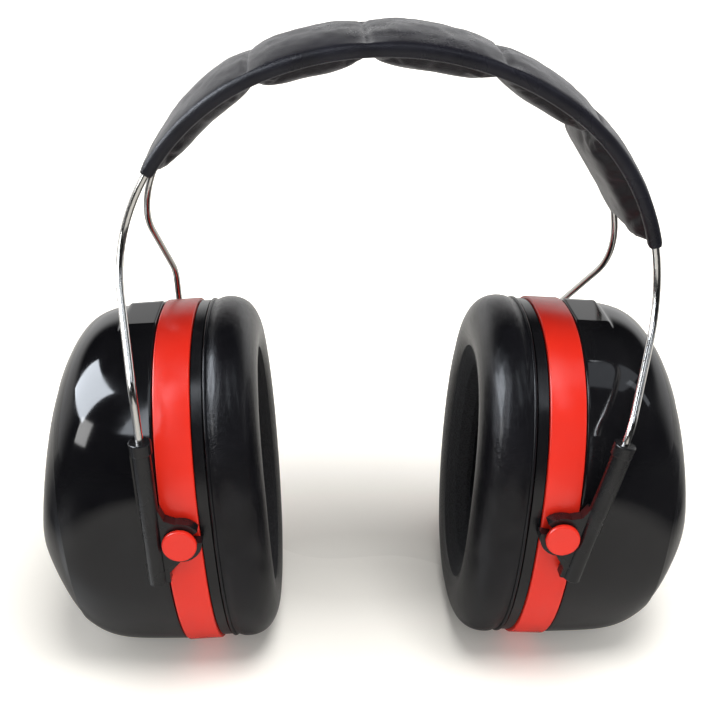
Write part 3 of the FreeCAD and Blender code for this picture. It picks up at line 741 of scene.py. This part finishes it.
# %% Liner foam
BOWL_DEPTH = 36.2
BOWL_FLOOR = (28.25, -37.92, 22.91)
BOWL_MOUTH_STEP_IN = 12.0
LIP_FACE = SHELL_RIM + LIP_WIDTH
LINER_FRONT, LINER_EDGE = -4.95, 1.6
LINER_STEPS = (2.12, 6.9)
LINER_GAP, LINER_FLOOR_THICK = 2.15, 4.8
DENTED_RADIUS = 40.0
LINER_ROUND = 128


def bowl_loop(x, step_in):
    """Loop of the bowl's surface at x, stepped inwards. The bowl narrows towards its floor."""
    narrowing = ((x + LIP_FACE) / (BOWL_DEPTH + LIP_FACE)) ** 3
    floor_top, floor_bottom, floor_depth = BOWL_FLOOR
    mouth_height = CUP_HALF_HEIGHT - BOWL_MOUTH_STEP_IN
    mouth_depth = CUP_HALF_DEPTH - BOWL_MOUTH_STEP_IN
    top = mouth_height + narrowing * (floor_top - mouth_height)
    bottom = -mouth_height + narrowing * (floor_bottom + mouth_height)
    depth = mouth_depth + narrowing * (floor_depth - mouth_depth)
    return oval_loop(x, top - step_in, bottom + step_in, depth - step_in, LINER_ROUND)


def dented(loop, depth):
    """Pull a loop in by up to about the given depth, more in some places than in others."""
    pulled = []
    for point in loop:
        point = Vector(point)
        share = 0.5 + 0.5 * noise.noise(point * 0.12)
        pulled.append(tuple(point * (1 - depth * share / DENTED_RADIUS)))
    return pulled


def liner_mesh(side):
    back, edge = BOWL_DEPTH - LINER_GAP, LINER_FRONT + LINER_EDGE
    floor = back - LINER_FLOOR_THICK
    outside, inside = LINER_STEPS
    middle = (outside + inside) / 2
    loops = [bowl_loop(back, outside + step) for step in (14.0, 6.0, 0.6)]
    loops += [bowl_loop(float(x), outside) for x in np.linspace(back - 0.6, edge, 14)]
    for k in range(1, 8):
        turn = math.pi * k / 8
        loops.append(bowl_loop(edge - LINER_EDGE * math.sin(turn),
                               middle - (inside - outside) / 2 * math.cos(turn)))
    wall = [dented(bowl_loop(float(x), inside), 0.5) for x in np.linspace(edge, floor - 1.5, 18)]
    base = [bowl_loop(floor - 0.6, inside + 0.5)]
    for step in (1.6, 4.0, 8.0, 12.0, 15.5):
        base.append([(floor - 0.12 * step, y, z) for _, y, z in bowl_loop(floor, inside + step)])
    return stacked(side + "_liner_form", loops + wall + base, CUP_FRAMES[side], poles=(True, True))


for side in SIDES:
    liner = link_mesh(side + "_ear_liner", liner_mesh(side))
    finish_piece(liner, side + "_cup", FOAM, [side + "_liner_foam"])
print("liner faces:", len(liner.data.polygons))

# %% [markdown]
# ## Foam between the shells
#
# A second foam fills the space between the inner and the outer shell. Nobody sees it, but it is a piece
# of the real cup. Here it is a thin closed lining: one stack of loops down the outer shell's inside and
# another back up, stepped further in and slightly dented.

# %% Lining foam
LINING_STEPS = (SHELL_WALL + 0.25, SHELL_WALL + 1.4)
LINING_REACH = (0.1, 0.97)


def lining_mesh(side):
    against, inner = LINING_STEPS
    stations = np.linspace(LINING_REACH[0], LINING_REACH[1], 36)
    outside = [oval_loop(*shell_extent(t, against), LINER_ROUND) for t in stations[::-1]]
    inside = [dented(oval_loop(*shell_extent(t, inner), LINER_ROUND), 0.2) for t in stations]
    return stacked(side + "_lining_form", outside + inside, CUP_FRAMES[side], poles=(True, True))


for side in SIDES:
    lining = link_mesh(side + "_shell_lining", lining_mesh(side))
    finish_piece(lining, side + "_cup", FOAM, [side + "_spacer_foam"])
print("lining faces:", len(lining.data.polygons))

# %% [markdown]
# ## Headband cover
#
# The cover is an outer skin with a sleeve along each edge for the wires. It is a C-shaped section carried
# along the wires' arch, which is two arcs of different radius joined smoothly.

# %% Arch of the wires
ARCH_TOP_RADIUS = 88.0
ARCH_SIDE_RADIUS = 64.0
ARCH_JOIN = math.radians(28.0)
ARCH_TOP_Z = 186.5
COVER_HALF_ANGLE = 67.2
COVER_SHIFT = 3.1
COVER_HALF_WIDTH = 25.0
SEAM_ANGLES = (-33.5, -12.0, 12.0, 33.5)


def arch_point(degrees, offset, y):
    """Point at an angle from the arch's top, moved outwards by offset, in the headband frame."""
    angle = math.radians(abs(degrees))
    centre_x, centre_z, radius = 0.0, ARCH_TOP_Z - ARCH_TOP_RADIUS, ARCH_TOP_RADIUS
    if angle > ARCH_JOIN:
        step = ARCH_TOP_RADIUS - ARCH_SIDE_RADIUS
        centre_x, centre_z = step * math.sin(ARCH_JOIN), centre_z + step * math.cos(ARCH_JOIN)
        radius = ARCH_SIDE_RADIUS
    x = centre_x + (radius + offset) * math.sin(angle)
    z = centre_z + (radius + offset) * math.cos(angle)
    return (math.copysign(x, degrees), y, z)


# %% Outer skin's section
SKIN_FLAT = 23.4
SKIN_TOP = 1.75


def crown(degrees, y):
    """Height of the cover's top above its edges, which fades out towards its ends."""
    along = degrees / COVER_HALF_ANGLE
    return 2.5 * (1 - (y / COVER_HALF_WIDTH) ** 2) * (1 - along ** 4)


def crease(angle):
    """How deep the skin is pulled in by the nearest weld, from 0 to 1."""
    nearest = min(abs(angle - seam) for seam in SEAM_ANGLES)
    return 0.6 * math.exp(-(nearest / 0.6) ** 2) + 0.4 * math.exp(-(nearest / 3.4) ** 2)


def skin_section(angle):
    """The skin's closed section at an angle: top, rolled sleeve, underside and the other sleeve."""
    pull = crease(angle)
    end = smooth_step(COVER_HALF_ANGLE - 1.0, COVER_HALF_ANGLE, abs(angle))
    top = []
    for y in np.linspace(-SKIN_FLAT, SKIN_FLAT, 61):
        wave = 0.32 * noise.noise(Vector((angle * 0.16, y * 0.11, 2.0)))
        wave += 0.16 * noise.noise(Vector((angle * 0.5, y * 0.2, 7.0)))
        puff = 0.35 * (1 - (y / SKIN_FLAT) ** 6) * (1 - pull) + wave * (1 - (y / SKIN_FLAT) ** 4)
        dent = pull * 1.5 * (1 - (y / 24.6) ** 8)
        top.append((float(y), SKIN_TOP + crown(angle, y) + puff - dent - 0.4 * end))
    roll = [(24.1, SKIN_TOP), (24.6, 1.45), (24.93, 0.8), (25.0, 0.0), (24.93, -0.9), (24.6, -1.55),
            (24.0, -1.95), (23.2, -2.08), (22.3, -2.0), (21.5, -1.8), (21.05, -1.4)]
    roll = [(y, offset * (1 - 0.15 * end)) for y, offset in roll]
    under = []
    for y in np.linspace(20.9, -20.9, 15):
        under.append((float(y), 0.5 + crown(angle, y) - pull))
    left_roll = [(-y, offset) for y, offset in reversed(roll)]
    return top + roll + under + left_roll


# %% Outer skin
def cover_skin_mesh():
    angles = np.linspace(-COVER_HALF_ANGLE, COVER_HALF_ANGLE, 301)
    loops = [[arch_point(angle + COVER_SHIFT, offset, y) for y, offset in skin_section(float(angle))]
             for angle in angles]
    return stacked("cover_skin_form", loops, BAND_FRAME)


cover = link_mesh("cover_outer_skin", cover_skin_mesh())
finish_piece(cover, "headband", COVER_VINYL, ["cover_skin"])
print("cover faces:", len(cover.data.polygons))

# %% [markdown]
# ## Padded pockets
#
# On the head side, the cover has five foam-filled pockets between its welds. Each starts as a slack
# closed form under the skin, is held at its ends, its sides and its top, and is then blown up, so
# it swells in the middle and puckers along the welds.

# %% Pads
PAD_EDGES = (-COVER_HALF_ANGLE,) + SEAM_ANGLES + (COVER_HALF_ANGLE,)
PAD_DEPTHS = (5.4, 6.3, 6.3, 5.4, 6.2)
PAD_LEANS = (0.0, 0.0, 0.0, 0.0, 0.8)
PAD_ROWS, PAD_ROUND = 30, 60
PAD_HALF_WIDTH, PAD_END_GAP = 20.85, 0.25
PAD_CAP = 1.1


def pad_form(low, high, depth, lean, seed):
    """Form of one pad. With a lean it is deeper at its first end and thinner at its last one."""
    points, held = [], []
    for row, t in enumerate(np.linspace(0, 1, PAD_ROWS)):
        angle = low + PAD_END_GAP + (high - low - 2 * PAD_END_GAP) * float(t)
        bulge = (1 - abs(2 * float(t) - 1) ** 3) * (1 + lean * (0.5 - float(t)))
        for k in range(PAD_ROUND):
            turn = 2 * math.pi * k / PAD_ROUND
            y = PAD_HALF_WIDTH * signed_power(math.cos(turn), 0.55)
            rise = signed_power(math.sin(turn), 0.75)
            under = 2.6 + (depth - PAD_CAP - 2.3) * bulge
            under += 0.35 * bulge * noise.noise(Vector((angle * 0.2, y * 0.15, seed)))
            offset = (0.35 + crown(angle, y)) * rise if rise > 0 else under * rise
            if row in (0, PAD_ROWS - 1) or rise > -0.25:
                held.append(len(points))
            points.append(arch_point(angle + COVER_SHIFT, offset, y))
    faces = stack_faces(PAD_ROWS, PAD_ROUND, False)
    for start, end in ((0, 1), ((PAD_ROWS - 1) * PAD_ROUND, -1)):
        faces += [tuple(start + k for k in range(PAD_ROUND))[::end]]
    return points, faces, held


for number, (low, high) in enumerate(zip(PAD_EDGES, PAD_EDGES[1:]), start=1):
    points, faces, held = pad_form(low, high, PAD_DEPTHS[number - 1], PAD_LEANS[number - 1], 3.7 * number)
    points = puffed("pad_" + str(number), points, faces, held, pressure=3.0, growth=0.05, cap=PAD_CAP)
    pad = link_mesh("cover_pocket_" + str(number),
                    mesh_from("pad_form_" + str(number), points, faces, BAND_FRAME))
    subdivided(pad, 2)
    finish_piece(pad, "headband", PAD_VINYL, ["cover_pad_" + str(number)])
print("faces of one pad before smoothing:", len(faces))

# %% [markdown]
# ## Floor
#
# The earmuff stands on a white floor. Lit from above alone, the floor would turn grey with distance, so it
# also gives off a little light of its own, more of it further out. A glossy surface sees the floor dimmed,
# and nearly black on both sides except far behind, as if the lit part ended there.

# %% Floor
FLOOR_HALF = 3.0
FLOOR_WHITE, FLOOR_DARK = (0.9, 0.87, 0.81), (0.02, 0.02, 0.022)
FLOOR_EDGE = (0.15, 0.19)
FLOOR_AHEAD = (0.02, 0.12)
FLOOR_DIM = 0.68
GLOW_FADE, GLOW_STRENGTH = (0.02, 0.22), 1.15
GLOW_COLOUR = (1.0, 0.98, 0.93)
GLOW_MIDDLE, GLOW_STRETCH = 0.024, 0.5


def darkened(finish):
    """How dark a glossy surface sees the floor, from 0 to 1. It is 0 for every other look at it."""
    parts = finish.node("ShaderNodeSeparateXYZ", [(0, finish.place)]).outputs
    beside = finish.ramp(finish.maths("ABSOLUTE", parts["X"]), 0.0, 1.0, *FLOOR_EDGE)
    ahead = finish.ramp(parts["Y"], 1.0, 0.0, *FLOOR_AHEAD)
    dark = finish.ramp(finish.maths("MULTIPLY", beside, ahead), FLOOR_DIM, 1.0, 0.0, 1.0)
    return finish.maths("MULTIPLY", dark, finish.node("ShaderNodeLightPath").outputs["Is Glossy Ray"])


def glow(finish, dark):
    """Light the floor gives off: it grows away from the middle, in an oval wider than it is deep."""
    around = finish.stretched((GLOW_STRETCH, 1.0, 1.0), (0.0, -GLOW_MIDDLE, 0.0))
    reach = finish.node("ShaderNodeVectorMath", [(0, around)], operation="LENGTH").outputs["Value"]
    growing = finish.ramp(reach, 0.0, GLOW_STRENGTH, *GLOW_FADE)
    return finish.maths("MULTIPLY", growing, finish.maths("SUBTRACT", 1.0, dark))


def make_floor():
    corners = [(-FLOOR_HALF, -FLOOR_HALF, 0), (FLOOR_HALF, -FLOOR_HALF, 0),
               (FLOOR_HALF, FLOOR_HALF, 0), (-FLOOR_HALF, FLOOR_HALF, 0)]
    mesh = bpy.data.meshes.new("floor")
    mesh.from_pydata(corners, [], [(0, 1, 2, 3)])
    floor = link_mesh("floor", mesh)
    finish = Finish("white_floor", FLOOR_WHITE, 0.3, IOR=1.4)
    finish.set("Roughness", finish.ramp(finish.noise(3, 2), 0.24, 0.34))
    dark = darkened(finish)
    finish.set("Base Color", finish.ramp(dark, FLOOR_WHITE, FLOOR_DARK, 0.0, 1.0))
    finish.set("Emission Strength", glow(finish, dark))
    finish.set("Emission Color", (*GLOW_COLOUR, 1))
    floor.data.materials.append(finish.material)


make_floor()
print("the floor reaches this far from the middle, in metres:", FLOOR_HALF)

# %% [markdown]
# ## Lights
#
# Two plain lights give the soft shadow and fill in the front. The shells and cushions are glossy, though,
# and what they mirror shapes them more than what lights them. So there are also some soft boxes which only
# glossy surfaces see, and each of them makes one of the highlights.

# %% Light helpers and lights
COOL = (0.86, 0.92, 1.0)
BOX_DISTANCE = 0.8


def area_light(name, place, target, size, power, colour=(1, 1, 1), mirrored=True):
    data = bpy.data.lights.new(name, "AREA")
    data.shape = "RECTANGLE"
    data.size, data.size_y = size
    data.energy = power
    data.color = colour
    light = bpy.data.objects.new(name, data)
    bpy.context.scene.collection.objects.link(light)
    light.location = place
    light.rotation_euler = (Vector(target) - Vector(place)).to_track_quat("-Z", "Y").to_euler()
    light.visible_glossy = mirrored
    return light


def soft_box(name, target, azimuth, elevation, size, radiance, colour=(1, 1, 1)):
    """A box seen only in glossy surfaces. Azimuth is from the front towards the right, in degrees."""
    turn, rise = math.radians(azimuth), math.radians(elevation)
    away = Vector((math.sin(turn) * math.cos(rise), -math.cos(turn) * math.cos(rise), math.sin(rise)))
    place = Vector(target) + BOX_DISTANCE * away
    light = area_light(name, place, target, size, radiance * math.pi * size[0] * size[1], colour)
    light.visible_diffuse = False
    light.visible_transmission = False


area_light("overhead", (0.1, -0.26, 0.95), (0, 0.03, 0), (0.42, 0.42), 8, mirrored=False)
area_light("front fill", (0.2, -1.2, 0.5), (0, 0, 0.05), (1.2, 0.5), 2, mirrored=False)
soft_box("left side box", (-0.08, -0.026, 0.097), -80, 41, (0.6, 0.48), 16, COOL)
soft_box("left low box", (-0.08, -0.033, 0.088), -54, 19, (0.22, 0.22), 7)
soft_box("left strip", (-0.046, -0.034, 0.093), -27, 44, (0.1, 0.62), 5.5, COOL)
soft_box("right strip", (0.042, -0.032, 0.096), 20, 56, (0.12, 0.42), 2.8, COOL)
soft_box("right side box", (0.066, -0.03, 0.098), 66, 58, (0.3, 0.3), 0.9, COOL)
soft_box("left second strip", (-0.038, -0.03, 0.095), 69, 35, (0.06, 0.3), 1.6, COOL)
print("lights:", len(bpy.data.lights))

# %% [markdown]
# ## Surroundings
#
# The room is white to the eye and lights everything evenly. A glossy surface sees it bright only low down
# behind the earmuff, so that the tops and fronts of the shells stay black.

# %% Surroundings
WORLD_BACK = (-0.35, 0.25)
WORLD_TOP = (0.26, 0.5)
AMBIENT = 0.45
BACKDROP = 1.2


def surroundings():
    """White room. Glossy surfaces see it bright low down behind, and dark in front and above."""
    world = bpy.data.worlds.new("studio")
    bpy.context.scene.world = world
    world.use_nodes = True
    tree = world.node_tree

    def spread(value, low, high):
        values = [("Value", value), ("From Min", low), ("From Max", high)]
        return wired(tree, "ShaderNodeMapRange", values, interpolation_type="SMOOTHSTEP").outputs["Result"]

    place = wired(tree, "ShaderNodeTexCoord").outputs["Generated"]
    parts = wired(tree, "ShaderNodeSeparateXYZ", [(0, place)]).outputs
    low_down = maths(tree, "SUBTRACT", 1.0, spread(parts["Z"], *WORLD_TOP))
    mirrored = maths(tree, "MULTIPLY", spread(parts["Y"], *WORLD_BACK), low_down)
    path = wired(tree, "ShaderNodeLightPath").outputs
    is_glossy = path["Is Glossy Ray"]
    plain = maths(tree, "MULTIPLY_ADD", path["Is Camera Ray"], BACKDROP - AMBIENT, AMBIENT)
    kept = maths(tree, "MULTIPLY", plain, maths(tree, "SUBTRACT", 1.0, is_glossy))
    background = tree.nodes["Background"]
    background.inputs["Color"].default_value = (1, 1, 1, 1)
    strength = maths(tree, "MULTIPLY_ADD", mirrored, is_glossy, kept)
    tree.links.new(strength, background.inputs["Strength"])


surroundings()
print("world:", bpy.context.scene.world.name)

# %% [markdown]
# ## Camera
#
# The camera stands in front and above, and looks down by about 24 degrees. It is near enough for the front
# of each cup to look larger than its rear, which a long lens from far away would flatten.

# %% Camera
CAMERA_PLACE = (-0.0147, -0.2996, 0.2257)
CAMERA_DOWN = 23.95
CAMERA_TURN, CAMERA_ROLL = -0.043, 0.009
LENS, SENSOR = 52.7, 36


def make_camera():
    """Aim by three turns: a roll about its own line of sight, a tilt down, then a turn about upright."""
    data = bpy.data.cameras.new("camera")
    data.sensor_width = SENSOR
    data.lens = LENS
    camera = bpy.data.objects.new("camera", data)
    bpy.context.scene.collection.objects.link(camera)
    camera.location = CAMERA_PLACE
    roll = Matrix.Rotation(CAMERA_ROLL, 3, "Z")
    tilt = Matrix.Rotation(math.radians(90 - CAMERA_DOWN), 3, "X")
    turn = Matrix.Rotation(CAMERA_TURN, 3, "Z")
    camera.rotation_euler = (turn @ tilt @ roll).to_euler()
    bpy.context.scene.camera = camera


make_camera()
bpy.context.scene.view_settings.view_transform = "Standard"
print("camera stands at:", CAMERA_PLACE)
